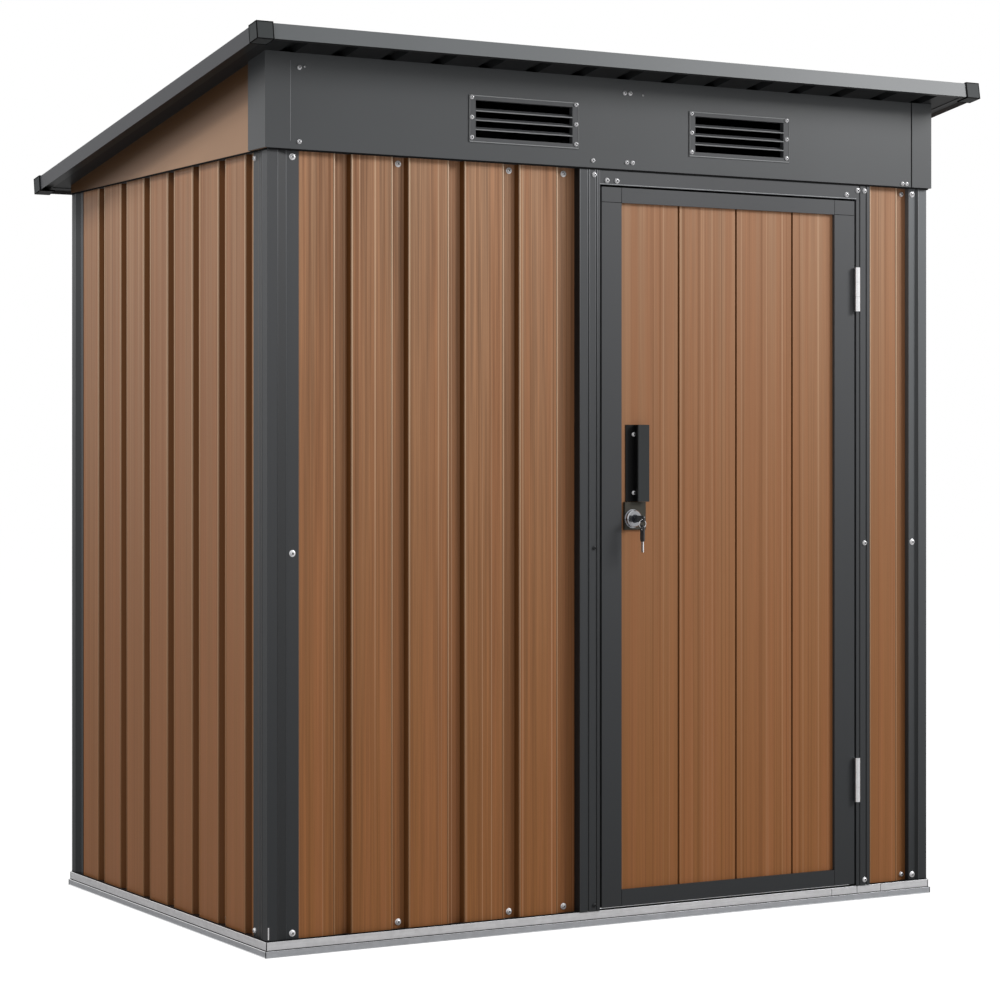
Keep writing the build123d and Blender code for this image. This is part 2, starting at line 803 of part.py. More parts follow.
# Key ring, hanging in the bow's hole
hang = bow_hole - ring_wire - ring_seat
ring_centre = lock_plane.origin - to_back * ring_place - to_sky * (hang + ring_radius)
with BuildPart() as key_ring:
    with BuildSketch(Plane(origin=ring_centre, x_dir=to_right, z_dir=to_sky)):
        with Locations((ring_radius, 0)):
            RegularPolygon(ring_wire, ring_wire_sides)
    revolve(axis=Axis(ring_centre, to_back))
save(key_ring, "key_ring")

# Spare key, hanging from the ring with its blade down
spare_hole = -2 * (hang + ring_radius)
spare_top = spare_hole + bow_hole_rim
spare_neck = spare_top - bow_length
with BuildPart() as spare_key:
    with BuildSketch(key_side):
        with Locations((ring_place, spare_neck + bow_round)):
            Rectangle(blade_width, blade_length + bow_round, align=(Align.CENTER, Align.MAX))
    extrude(amount=blade_gauge / 2, both=True)
    with BuildSketch(key_side):
        with Locations((ring_place, (spare_top + spare_neck) / 2)):
            RectangleRounded(bow_width, bow_length, bow_round)
    extrude(amount=bow_gauge / 2, both=True)
    with BuildSketch(key_side):
        with Locations((ring_place, spare_hole)):
            Circle(bow_hole)
    extrude(amount=bow_gauge / 2, both=True, mode=Mode.SUBTRACT)
save(spare_key, "spare_key")

# Hinges: rolled knuckles in front of the gap, with plates folded back into it on either side
hinge_place = doorway_right - door_gap / 2
hinge_depth = door_face - hinge_standoff - hinge_radius
knuckle_length = (hinge_length - (knuckles - 1) * knuckle_gap) / knuckles
post_plate_middle = doorway_right - hinge_plate / 2
leaf_plate_middle = leaf_right + hinge_plate / 2


def hinge_barrel(bottom, length, radius, mode=Mode.ADD):
    """Add or take away a round bar on the hinge's axis."""
    with BuildSketch(front_plan.offset(bottom - rail_height)) as bar:
        with Locations((hinge_place, hinge_depth)):
            Circle(radius)
    extrude(bar.sketch, amount=length, mode=mode)


def hinge_flat(bottom, length, middle, near, far):
    """Add a flat plate in the door's gap, between two depths."""
    with BuildSketch(front_plan.offset(bottom - rail_height)) as flat:
        with Locations((middle, (near + far) / 2)):
            Rectangle(hinge_plate, far - near)
    extrude(flat.sketch, amount=length)


def hinge_knuckle(bottom, order, plate_middle):
    """Add the knuckle at one place along a hinge, with the tab that joins it to its plate."""
    start = bottom + order * (knuckle_length + knuckle_gap)
    hinge_barrel(start, knuckle_length, hinge_radius)
    hinge_flat(start, knuckle_length, plate_middle, hinge_depth, door_face)


plate_end = door_face + hinge_plate_depth
with BuildPart() as hinge_post_leaves:
    for bottom in hinge_bottoms:
        hinge_flat(bottom, hinge_length, post_plate_middle, door_face, plate_end)
        for order in range(0, knuckles, 2):
            hinge_knuckle(bottom, order, post_plate_middle)
        hinge_barrel(bottom, hinge_length, pin_radius)
save(hinge_post_leaves, "hinge_post_leaves")

with BuildPart() as hinge_door_leaves:
    for bottom in hinge_bottoms:
        hinge_flat(bottom, hinge_length, leaf_plate_middle, door_face, plate_end)
        for order in range(1, knuckles, 2):
            hinge_knuckle(bottom, order, leaf_plate_middle)
        hinge_barrel(bottom, hinge_length, pin_radius + pin_fit, Mode.SUBTRACT)
save(hinge_door_leaves, "hinge_door_leaves")
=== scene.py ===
"""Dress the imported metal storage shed: finishes, screws, folds, joint lines, camera and studio light."""

from math import pi, radians, tan

import bmesh
import bpy
import numpy as np
from bpy.props import FloatProperty, FloatVectorProperty, PointerProperty
from bpy.types import Operator, Panel, PropertyGroup
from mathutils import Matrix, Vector


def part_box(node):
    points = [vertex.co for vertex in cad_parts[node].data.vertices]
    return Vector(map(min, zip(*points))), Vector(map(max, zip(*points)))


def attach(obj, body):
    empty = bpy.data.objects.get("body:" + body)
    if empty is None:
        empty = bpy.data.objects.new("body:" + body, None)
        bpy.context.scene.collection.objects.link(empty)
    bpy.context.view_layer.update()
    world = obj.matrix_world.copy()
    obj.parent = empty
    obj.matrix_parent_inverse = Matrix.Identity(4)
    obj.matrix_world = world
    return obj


bl_info = {
    "name": "Metal storage shed",
    "version": (1, 0, 0),
    "blender": (4, 5, 0),
    "location": "View3D > Sidebar > Shed",
    "description": "Finishes, screws, folds and studio light for a metal storage shed",
    "category": "Object",
}

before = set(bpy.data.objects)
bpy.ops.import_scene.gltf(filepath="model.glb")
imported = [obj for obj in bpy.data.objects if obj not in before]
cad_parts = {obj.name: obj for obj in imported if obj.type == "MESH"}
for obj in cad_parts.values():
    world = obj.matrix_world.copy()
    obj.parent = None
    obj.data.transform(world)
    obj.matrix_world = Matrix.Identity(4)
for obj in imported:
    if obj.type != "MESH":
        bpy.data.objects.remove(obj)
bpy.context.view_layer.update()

ACROSS = Vector((1, 0, 0))
BACK = Vector((0, 1, 0))
UP = Vector((0, 0, 1))

body_left, body_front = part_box("corner_post_front_left")[0].xy
body_right, body_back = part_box("corner_post_back_right")[1].xy
wall_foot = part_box("front_wall_sheet")[0].z
wall_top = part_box("front_wall_sheet")[1].z

WALLS = ("front_wall_sheet", "front_narrow_sheet", "back_wall_sheet", "left_wall_sheet", "right_wall_sheet")
BASE_RAILS = ("base_rail_front", "base_rail_right", "base_rail_back", "base_rail_left")
ROOF_TRIMS = ("roof_edge_front", "roof_edge_right", "roof_edge_back", "roof_edge_left")

# Outward directions by the words in the nodes' names
SIDES = {"front": -BACK, "narrow": -BACK, "back": BACK, "left": -ACROSS, "right": ACROSS}

# Corners nearer than the first are one corner, and levels nearer than the second are one level
ONE_CORNER = 1e-6
SAME_LEVEL = 1e-4

# How far out a line starts that looks for a seat
FAR = 2

# Folds with a rounded strip: least bend, bends of a shallow one, least cosine to the side it is seen from
LEAST_BEND = radians(20)
SHALLOW_BENDS = (radians(8), radians(60))
LEAST_FACING = 0.3

# Share of its radius by which the middle of a strip lies under its fold
SUNK_SHARE = 0.6

# Edges of the added pieces that bend more than this stay sharp
SHARP_BEND = radians(40)

# How far the upper band of the base rails is set back from the lower one
RAIL_SETBACK = 0.003


def shade(red, green, blue):
    """Linear colour of a finish from its display values, 0 to 255."""
    display = np.array([red, green, blue]) / 255
    linear = np.where(display <= 0.04045, display / 12.92, ((display + 0.055) / 1.055) ** 2.4)
    return tuple(float(value) for value in linear)


def number(name, default, description, **limits):
    """A number that a user can change."""
    return FloatProperty(name=name, description=description, default=default, **limits)


def length(name, default, description):
    """A length that a user can change, in metres."""
    return number(name, default, description, min=0, unit="LENGTH", precision=5)


def vector(name, default, description, **limits):
    """Three numbers that a user can change."""
    return FloatVectorProperty(name=name, description=description, default=default, **limits)


def paint(name, default, description):
    """A colour that a user can change."""
    return vector(name, default, description, min=0, max=1, subtype="COLOR")


class ShedPaints(PropertyGroup):
    """Colours of the shed's finishes."""

    # Painted light: the wood print's own colour, made lighter and paler near the top and darker at the foot
    wood_lit_high: paint("Wood, high", shade(171, 131, 101), "Wood print near the top of a wall")
    wood_shaded_low: paint("Wood, low", shade(137, 89, 49), "Wood print near the foot of a wall")
    wood_red: paint("Wood, reddish", shade(152, 97, 61), "Redder bands in the wood print")
    wood_line: paint("Wood lines", shade(214, 178, 146), "Pale fine lines of the wood print")
    # Dark lines of the print, and also the painted shade on the slanting sides of the ribs
    wood_dark_and_shade: paint("Wood seams", shade(104, 64, 30), "Dark sides of the ribs and grooves")
    # Painted highlights: pale rounded folds along the ribs' edges, paler near the top
    rib_highlight_high: paint("Wood folds, high", shade(236, 202, 170), "Pale folds of the ribs near the top")
    rib_highlight_low: paint("Wood folds, low", shade(160, 116, 78), "Pale folds of the ribs near the foot")
    gable: paint("Gable", shade(166, 131, 104), "Plain brown coat of the gables")
    # Painted shadow: the dark band of the gables under the eave
    eave: paint("Eave stain", shade(70, 42, 10), "Dark stained band of the gables under the eave")
    inner_coat: paint("Inner coat", shade(188, 188, 184), "Plain primer on the inner side of the sheets")
    # Painted light: the anthracite's own colour, lighter near the top and darker near the ground
    frame_lit_high: paint("Frame, high", shade(82, 83, 85), "Anthracite near the top")
    frame_shaded_low: paint("Frame, low", shade(46, 48, 50), "Anthracite near the ground")
    # Painted light: the upper end of the front right post is lighter
    lit_right_post_head: paint("Right post, high", shade(112, 115, 117), "Upper end of the front right post")
    fascia: paint("Fascia", shade(71, 73, 75), "Fascia over the front")
    # Painted light: one trim coat, a lit copy on the front edge and a darker shaded copy on the other edges
    roof_trim: paint("Roof trim", shade(98, 101, 103), "Trim along the roof's front edge")
    shaded_roof_side: paint("Roof side trim", shade(58, 59, 63), "Trim along the other edges of the roof")
    # Painted shade: near black on the undersides of the roof and fascia and on the trims' inner faces
    underside_shade: paint("Undersides", shade(30, 31, 32), "Dark coat on the undersides of the roof and fascia")
    roof_cap: paint("Roof caps", shade(60, 63, 64), "Corner caps of the roof's edge")
    zinc: paint("Zinc", shade(190, 191, 193), "Galvanised steel")
    rail_high: paint("Base rail, upper band", shade(206, 206, 208), "Upper band of the base rails")
    rail_low: paint("Base rail, lower band", shade(166, 168, 172), "Lower band of the base rails")
    bright: paint("Bright plating", shade(240, 240, 242), "Screws, hinges and key ring")
    chrome: paint("Chrome", shade(176, 177, 181), "Bezel of the lock")
    # Painted highlights: pale lips of the vents and louvres
    lip: paint("Lips", shade(150, 152, 153), "Worn lips of the vents and louvres")
    # Painted highlights: pale thin folds of the frame, paler near the top
    crease_highlight_high: paint("Frame folds, high", shade(152, 154, 157), "Worn pale folds of the frame near the top")
    crease_highlight_low: paint("Frame folds, low", shade(56, 58, 60), "Worn pale folds of the frame near the ground")
    # Black, also used as painted shade in recesses, shadow lines, undersides and the handle's base
    black: paint("Black", shade(11, 11, 12), "Handle, recesses and joint lines")
    case: paint("Lock case", shade(60, 57, 50), "Flat case of the lock")
    grip: paint("Handle grip", shade(50, 52, 53), "Outer flange of the handle")
    plug: paint("Lock plug", shade(48, 49, 56), "Face of the lock's plug")
    bow: paint("Key bows", shade(52, 54, 57), "Moulded bows of the keys")


class ShedScrews(PropertyGroup):
    """Sizes and rows of the screws."""

    washer: length("Washer radius", 0.0068, "Outer radius of the washer under a wall screw")
    head: length("Head radius", 0.0046, "Radius of a wall screw's domed head")
    frame_head: length("Frame screw radius", 0.0050, "Radius of the screws in the door frame")
    trim_head: length("Trim screw radius", 0.0042, "Radius of the small screws in the fascia")
    pin: length("Pin radius", 0.0018, "Radius of the smallest pins in the fascia")
    rise: length("Head height", 0.0028, "Height of a wall screw's head over its washer")
    top_inset: length("Top row", 0.0128, "Distance of the top row below the top of the walls")
    middle: length("Middle row", 0.7980, "Height of the middle row on the posts")
    bottom: length("Bottom row", 0.0430, "Height of the bottom row")


class ShedFolds(PropertyGroup):
    """Sizes of the thin rounded folds, lips and joint lines."""

    fold: length("Rib fold radius", 0.0022, "Radius of the rounded fold along a rib's edge")
    depth: length("Fold depth", 0.0003, "How far a fold's strip reaches into the sheet")
    crease: length("Frame fold radius", 0.0013, "Radius of the rounded folds of posts and trims")
    lip: length("Lip radius", 0.0012, "Radius of the rolled lips of vents and louvres")
    joint: length("Joint width", 0.0012, "Width of the dark line where two members meet")
    proud: length("Joint height", 0.00012, "Height of a joint line over its surface")
    # Painted shadow: height of the dark band under the fascia and gables
    shadow_band: length("Seal height", 0.0042, "Height of the dark seal under the fascia and gables")


class ShedStage(PropertyGroup):
    """Camera, lamps and surroundings."""

    camera_place: vector(
        "Camera place",
        (-3.1017, -5.4237, 0.9852),
        "Where the camera stands",
        subtype="TRANSLATION",
        unit="LENGTH",
    )
    camera_turn: vector(
        "Camera turn",
        (radians(90), 0, radians(-29.768)),
        "Turn of the level camera",
        subtype="EULER",
        unit="ROTATION",
    )
    focal_length: number("Focal length", 98.22, "Length of the lens, in millimetres", unit="CAMERA")
    lens_rise: number("Lens rise", -0.0406, "Vertical shift of the lens")
    sky: number("Sky", 0.5, "Strength of the even light all round", min=0)
    key_power: number("Key lamp", 300, "Power of the large lamp, in watts", min=0, unit="POWER")
    side_power: number("Side lamp", 135, "Power of the lamp at the left, in watts", min=0, unit="POWER")
    floor_size: length("Floor size", 60.0, "Side of the pale floor")


def node(tree, kind, inputs=None, **settings):
    """Add a shader node of a kind, set its options, and give each listed input a value or a link."""
    made = tree.nodes.new(f"ShaderNode{kind}")
    for option, value in settings.items():
        setattr(made, option, value)
    for socket, value in (inputs or {}).items():
        if isinstance(value, bpy.types.NodeSocket):
            tree.links.new(value, made.inputs[socket])
        else:
            made.inputs[socket].default_value = value
    return made


def solid(colour):
    """A colour with full alpha."""
    return (*colour, 1)


def mixed(tree, factor, first, second):
    """Colour between two colours, by a factor."""
    ends = {"Factor": factor, 6: first, 7: second}
    return node(tree, "Mix", ends, data_type="RGBA").outputs[2]


def scaled(tree, colour, level):
    """A colour made lighter or darker by a level."""
    return node(tree, "VectorMath", {0: colour, "Scale": level}, operation="SCALE").outputs[0]


def ramp(tree, value, low, high, start=0.0, end=1.0):
    """Value carried from one range to another and held at its ends."""
    limits = {"Value": value, "From Min": low, "From Max": high, "To Min": start, "To Max": end}
    return node(tree, "MapRange", limits).outputs["Result"]


def maths(tree, operation, first, second=0.0):
    """Result of one sum."""
    return node(tree, "Math", {0: first, 1: second}, operation=operation).outputs[0]


def noise(tree, place, stretch, detail):
    """Noise stretched by three scales, from 0 to 1."""
    stretched = node(tree, "Mapping", {"Vector": place, "Scale": stretch}).outputs[0]
    return node(tree, "TexNoise", {"Vector": stretched, "Scale": 1.0, "Detail": detail}).outputs["Fac"]


def split(tree, direction):
    """The X, Y and Z of a place or a direction."""
    return node(tree, "SeparateXYZ", {0: direction}).outputs


def slanted(tree, turn):
    """Nought on faces square to the walls, and up to a half on the slanting sides of a fold."""
    return maths(tree, "ABSOLUTE", maths(tree, "MULTIPLY", turn["X"], turn["Y"]))


def primed_inside(tree, ground, at, turn, axis):
    """A colour that gives way to the plain primer on faces turned to the middle of the shed."""
    outward = maths(tree, "MULTIPLY", turn[axis], at[axis])
    primer = solid(bpy.context.scene.shed_paints.inner_coat)
    return mixed(tree, maths(tree, "LESS_THAN", outward, 0.0), ground, primer)


def empty_tree(owner):
    """The node tree of a material or of the surroundings, emptied."""
    owner.use_nodes = True
    owner.node_tree.nodes.clear()
    return owner.node_tree


def new_finish(name):
    """A material, its tree and shader, the place on a piece, and the axes of that and of its direction."""
    material = bpy.data.materials.new(name)
    tree = empty_tree(material)
    shader = node(tree, "BsdfPrincipled")
    node(tree, "OutputMaterial", {"Surface": shader.outputs[0]})
    coordinates = node(tree, "TexCoord").outputs
    place = coordinates["Object"]
    return material, tree, shader, place, split(tree, place), split(tree, coordinates["Normal"])


def set_surface(tree, shader, ground, roughness, specular=0.5, metallic=0.0):
    """Link a colour to a shader and set how rough, glossy and metallic it is."""
    tree.links.new(ground, shader.inputs["Base Color"])
    shader.inputs["Roughness"].default_value = roughness
    shader.inputs["Specular IOR Level"].default_value = specular
    shader.inputs["Metallic"].default_value = metallic


def relief(tree, shader, height, strength, distance=0.0002):
    """Give a shader a bumpy surface."""
    bump = node(tree, "Bump", {"Strength": strength, "Distance": distance, "Height": height})
    tree.links.new(bump.outputs[0], shader.inputs["Normal"])


def wood_finish(name, facing, contrast=1.0):
    """Printed wood on a folded sheet: streaks along Z, painted light that pales it towards the top, painted
    shade on the rib sides and valleys, primer inside.
    """
    paints = bpy.context.scene.shed_paints
    material, tree, shader, place, at, turn = new_finish(f"wood_print_{name}")
    # Painted light: lighter and paler towards the top, darker at the foot
    height = maths(tree, "POWER", ramp(tree, at["Z"], wall_foot, wall_top), 1.9)
    ground = mixed(tree, height, solid(paints.wood_shaded_low), solid(paints.wood_lit_high))

    # Broad reddish bands, then streaks that are stronger near the top
    bands = ramp(tree, noise(tree, place, (50, 50, 0.5), 3), 0.38, 0.62, 0, 0.45)
    ground = mixed(tree, bands, ground, solid(paints.wood_red))
    wide = noise(tree, place, (120, 120, 1.0), 3)
    streaks = maths(tree, "ADD", wide, noise(tree, place, (330, 330, 3.0), 2))
    swing = ramp(tree, streaks, 0.7, 1.3, -0.10 * contrast, 0.10 * contrast)
    swing = maths(tree, "MULTIPLY", swing, ramp(tree, height, 0, 1, 0.7, 1.3))
    ground = scaled(tree, ground, maths(tree, "ADD", swing, 1.0))

    # Thin pale lines and thin dark lines at the two ends of one noise
    lines = noise(tree, place, (240, 240, 0.25), 0)
    pale = ramp(tree, lines, 0.69, 0.77, 0, 0.36 * contrast)
    pale = maths(tree, "MULTIPLY", pale, ramp(tree, height, 0, 1, 0.3, 1))
    ground = mixed(tree, pale, ground, solid(paints.wood_line))
    dark = ramp(tree, lines, 0.33, 0.25, 0, 0.35)
    ground = mixed(tree, dark, ground, solid(paints.wood_dark_and_shade))

    # Painted shade: dark slanting sides of the ribs, and valleys a little darker than the ridges
    sides = ramp(tree, slanted(tree, turn), 0.10, 0.30)
    ground = mixed(tree, sides, ground, solid(paints.wood_dark_and_shade))
    valley, ridge = sorted(abs(getattr(corner, facing.lower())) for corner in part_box(name))
    reach = maths(tree, "ABSOLUTE", at[facing])
    ground = scaled(tree, ground, ramp(tree, reach, valley + 0.0015, ridge - 0.001, 0.88, 1.0))

    ground = primed_inside(tree, ground, at, turn, facing)
    set_surface(tree, shader, ground, 0.45, 0.18)
    relief(tree, shader, streaks, 0.10, 0.0004)
    return material


def gable_finish(name):
    """Plain brown coat of the gables: faint clouds, a painted shadow band under the eave, primer inside."""
    paints = bpy.context.scene.shed_paints
    material, tree, shader, place, at, turn = new_finish(name)
    clouds = ramp(tree, noise(tree, place, (2.5, 2.5, 5), 3), 0.3, 0.7, 0.94, 1.06)
    ground = scaled(tree, tuple(paints.gable), clouds)

    # The painted shadow fades out between two depths below the sloping top
    points = corners("gable_left")
    ends = points[:, 1].min(), points[:, 1].max()
    tops = [points[np.abs(points[:, 1] - end) < SAME_LEVEL, 2].max() for end in ends]
    slope = ramp(tree, at["Y"], *ends, *tops)
    below = maths(tree, "SUBTRACT", slope, at["Z"])
    ground = mixed(tree, ramp(tree, below, 0.030, 0.085, 0.9, 0), ground, solid(paints.eave))

    ground = primed_inside(tree, ground, at, turn, "X")
    set_surface(tree, shader, ground, 0.42, 0.18)
    relief(tree, shader, noise(tree, place, (600, 600, 600), 1), 0.05)
    return material


def coat_finish(name, high, low, roughness=0.45, specular=0.2, shaded_side=None, shaded_inside=False, fade=1.5):
    """Powder coat, lighter towards the top as painted light, with fine orange peel, slanting fold sides
    darker as painted shade and, where asked, painted shade on sides that face one way or inward.
    """
    under = solid(bpy.context.scene.shed_paints.underside_shade)
    material, tree, shader, place, at, turn = new_finish(name)
    # Painted light: the coat grows lighter towards the top, by a curve of this power
    height = maths(tree, "POWER", ramp(tree, at["Z"], 0.0, wall_top), fade)
    ground = mixed(tree, height, solid(low), solid(high))
    clouds = ramp(tree, noise(tree, place, (3, 3, 1.1), 3), 0.3, 0.7, 0.95, 1.05)
    # Painted shade: the slanting sides of folds are darker
    clouds = maths(tree, "MULTIPLY", clouds, ramp(tree, slanted(tree, turn), 0.10, 0.25, 1.0, 0.60))
    ground = scaled(tree, ground, clouds)
    # Painted shade: faces turned one way, or turned to the middle of the shed, go near black
    if shaded_side:
        ground = mixed(tree, ramp(tree, turn[shaded_side], -0.25, -0.4), ground, under)
    if shaded_inside:
        across = maths(tree, "MULTIPLY", turn["X"], at["X"])
        along = maths(tree, "MULTIPLY", turn["Y"], at["Y"])
        inward = ramp(tree, maths(tree, "ADD", across, along), -0.10, -0.25)
        ground = mixed(tree, inward, ground, under)
    set_surface(tree, shader, ground, roughness, specular)
    relief(tree, shader, noise(tree, place, (700, 700, 700), 1), 0.06)
    return material


def metal_finish(name, colour, roughness, metallic, spangle=0.0):
    """Bare or plated metal, with the patches of a zinc coat."""
    material, tree, shader, place, *_ = new_finish(name)
    cells = node(tree, "TexVoronoi", {"Vector": place, "Scale": 90.0})
    patches = node(tree, "SeparateColor", {0: cells.outputs["Color"]}).outputs[0]
    rolled = noise(tree, place, (9, 9, 60), 2)
    level = ramp(tree, maths(tree, "ADD", patches, rolled), 0.2, 1.8, 1 - spangle, 1)
    ground = scaled(tree, tuple(colour), level)
    set_surface(tree, shader, ground, roughness, metallic=metallic)
    relief(tree, shader, noise(tree, place, (160, 160, 900), 2), 0.05)
    return material


def rail_finish(name):
    """Galvanised base rails: a darker lower band, a pale upper band, and painted shade in near black on faces
    turned up.
    """
    paints = bpy.context.scene.shed_paints
    material, tree, shader, place, at, turn = new_finish(name)
    upper = maths(tree, "GREATER_THAN", at["Z"], rail_step)
    ground = mixed(tree, upper, solid(paints.rail_low), solid(paints.rail_high))
    rolled = maths(tree, "ADD", noise(tree, place, (14, 14, 220), 3), noise(tree, place, (70, 70, 70), 2))
    ground = scaled(tree, ground, ramp(tree, rolled, 0.75, 1.25, 0.90, 1.04))
    # Painted shade: faces turned up go near black
    tops = ramp(tree, turn["Z"], 0.6, 0.8)
    ground = mixed(tree, tops, ground, solid(paints.black))
    set_surface(tree, shader, ground, 0.4, metallic=0.2)
    relief(tree, shader, rolled, 0.05)
    return material


def two_tone_finish(name, axis, parting, colours, metal, roughness, specular):
    """Two finishes on one piece, the first below a plane across one axis, with fine handling marks."""
    material, tree, shader, place, at, _ = new_finish(name)
    is_above = maths(tree, "GREATER_THAN", at[axis], parting)
    ground = mixed(tree, is_above, *(solid(colour) for colour in colours))
    marks = noise(tree, place, (900, 900, 900), 2)
    ground = scaled(tree, ground, ramp(tree, marks, 0.3, 0.7, 0.94, 1.0))
    set_surface(tree, shader, ground, roughness, specular)
    tree.links.new(ramp(tree, is_above, 0, 1, *metal), shader.inputs["Metallic"])
    relief(tree, shader, marks, 0.08)
    return material


def dress(names, material):
    """Put one finish on CAD nodes."""
    for name in names:
        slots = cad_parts[name].data.materials
        slots.clear()
        slots.append(material)


def corners(name):
    """Corner points of a CAD node as an array."""
    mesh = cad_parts[name].data
    points = np.empty(len(mesh.vertices) * 3, np.float32)
    mesh.vertices.foreach_get("co", points)
    return points.reshape(-1, 3)


# Bends of the base rails from the ground up, each at both faces of the steel
rail_levels = np.unique(np.round(corners("base_rail_front")[:, 2], 4))
rail_step, rail_ledge = float(rail_levels[3]), float(rail_levels[5])
rail_low, rail_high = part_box("base_rail_front")[0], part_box("base_rail_back")[1]


def outer_folds(name, facings, share, shallow):
    """Starts, ends, outward directions and side slopes of a CAD node's long folds, seen from given sides."""
    shell = bmesh.new()
    shell.from_mesh(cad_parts[name].data)
    bmesh.ops.remove_doubles(shell, verts=shell.verts, dist=ONE_CORNER)
    low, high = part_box(name)
    least = share * max(high - low)
    found = []
    for edge in shell.edges:
        if len(edge.link_faces) != 2 or edge.calc_length() < least:
            continue
        bend = edge.calc_face_angle()
        if shallow and not SHALLOW_BENDS[0] < bend < SHALLOW_BENDS[1]:
            continue
        if not shallow and (bend < LEAST_BEND or not edge.is_convex):
            continue
        outward = (edge.link_faces[0].normal + edge.link_faces[1].normal).normalized()
        if max(outward.dot(facing) for facing in facings) > LEAST_FACING:
            start, end = (tuple(corner.co) for corner in edge.verts)
            slope = tan(bend / 2) * (1 if edge.is_convex else -1)
            found.append((start, end, tuple(outward), (slope, slope, slope)))
    shell.free()
    return np.array(found).transpose(1, 0, 2)


def on_surface(name, start, direction):
    """First point of a CAD node that a line meets."""
    hit, place, _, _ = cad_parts[name].ray_cast(Vector(start), Vector(direction))
    if not hit:
        raise RuntimeError(f"nothing to seat on: {name} at {tuple(start)}")
    return place


def add_piece(name, shapes, material, body):
    """Make one mesh of closed shapes, each an array of rings of points, and let it ride on a body."""
    count, rows, columns = shapes.shape[:3]
    ring = np.arange(columns)
    first = np.arange(rows - 1)[:, None] * columns
    here, beside = first + ring, first + (ring + 1) % columns
    quads = np.stack([here, beside, beside + columns, here + columns], -1).reshape(-1, 4)
    faces = (np.arange(count)[:, None, None] * rows * columns + quads).reshape(-1, 4)
    mesh = bpy.data.meshes.new(name)
    mesh.from_pydata(shapes.reshape(-1, 3).tolist(), [], faces.tolist())
    shell = bmesh.new()
    shell.from_mesh(mesh)
    bmesh.ops.remove_doubles(shell, verts=shell.verts, dist=ONE_CORNER)
    bmesh.ops.recalc_face_normals(shell, faces=shell.faces)
    shell.to_mesh(mesh)
    shell.free()
    mesh.shade_smooth()
    mesh.set_sharp_from_angle(angle=SHARP_BEND)
    mesh.materials.append(material)
    piece = bpy.data.objects.new(name, mesh)
    bpy.context.scene.collection.objects.link(piece)
    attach(piece, body) or piece


def turned(centres, facing, profile, sides=16):
    """Shapes turned about one direction: radius times (cos a, sin a) across it, and height along it."""
    facing = Vector(facing).normalized()
    first = np.array(facing.orthogonal().normalized())
    second = np.cross(np.array(facing), first)
    angles = np.linspace(0, 2 * pi, sides, endpoint=False)
    circle = np.cos(angles)[:, None] * first + np.sin(angles)[:, None] * second
    radii, heights = np.array(profile, float).T
    shape = radii[:, None, None] * circle + heights[:, None, None] * np.array(facing)
    return np.array([tuple(centre) for centre in centres])[:, None, None, :] + shape


def head_profile(washer, head, rise):
    """Half section of a domed screw head on a washer, from the middle of its foot to its top."""
    edge, top = 0.0007, 0.0010
    return [
        (0, 0),
        (washer, 0),
        (washer, edge),
        (washer * 0.93, top),
        (head, top),
        (head, top + rise * 0.45),
        (head * 0.86, top + rise * 0.80),
        (head * 0.55, top + rise),
        (0, top + rise),
    ]


def cords(starts, ends, facings, width, height, sides=8):
    """Closed strips between points: half the width times cos a across, height times sin a out, ends shut."""
    starts = np.array([tuple(start) for start in starts])
    ends = np.array([tuple(end) for end in ends])
    out = np.broadcast_to(np.array(facings, float), starts.shape)
    run = ends - starts
    run /= np.linalg.norm(run, axis=1)[:, None]
    across = np.cross(run, out)
    angles = np.linspace(0, 2 * pi, sides, endpoint=False)
    section = np.cos(angles)[None, :, None] * across[:, None, :] * width / 2
    section = section + np.sin(angles)[None, :, None] * out[:, None, :] * height
    rings = [starts[:, None, :] + section * 0, starts[:, None, :] + section]
    rings += [ends[:, None, :] + section, ends[:, None, :] + section * 0]
    return np.stack(rings, 1)


def beads(name, facings, radius, share=0.3, shallow=False):
    """Rounded strips laid along a CAD node's outer folds, sunk by a share of their radius.

    Under the surface a strip follows the fold at one depth, so it stays in the thickness of the sheet:
    no point is lower than minus the side's slope times its distance from the fold line, less that depth.
    """
    starts, ends, outward, slopes = outer_folds(name, facings, share, shallow)
    sunk = outward * radius * SUNK_SHARE
    strips = cords(starts - sunk, ends - sunk, outward, radius * 2, radius)
    across = np.cross(ends - starts, outward)
    across /= np.linalg.norm(across, axis=1)[:, None]
    offsets = strips - starts[:, None, None, :]
    aside = np.abs(np.einsum("nrsk,nk->nrs", offsets, across))
    height = np.einsum("nrsk,nk->nrs", offsets, outward)
    depth = bpy.context.scene.shed_folds.depth
    lift = np.maximum(0, -aside * slopes[:, :1, None] - depth - height)
    return strips + lift[..., None] * outward[:, None, None, :]


def add_screws(name, places, facing, head, body="shed", washer=0.0, coat="screw_zinc"):
    """Screw heads with a cross recess drawn as dark bars of painted shade, on washers where given, seated on
    the given points.
    """
    screws = bpy.context.scene.shed_screws
    rise = screws.rise * head / screws.head
    flange = washer or head * 1.12
    profile = head_profile(flange, head, rise)
    facing = Vector(facing).normalized()
    add_piece(name, turned(places, facing, profile), bpy.data.materials[coat], body)
    tops = [Vector(place) + facing * profile[-1][1] for place in places]
    side = facing.orthogonal().normalized()
    arm, proud = head * 0.62, 0.0003
    bars = [
        cords([top - way * arm for top in tops], [top + way * arm for top in tops], facing, arm * 0.6, proud)
        for way in (side, side.cross(facing))
    ]
    # Painted shade: dark bars stand for the shade in the cross recess
    dark = bpy.data.materials["joint_and_shade_black"]
    add_piece(f"{name}_recess", np.concatenate(bars), dark, body)


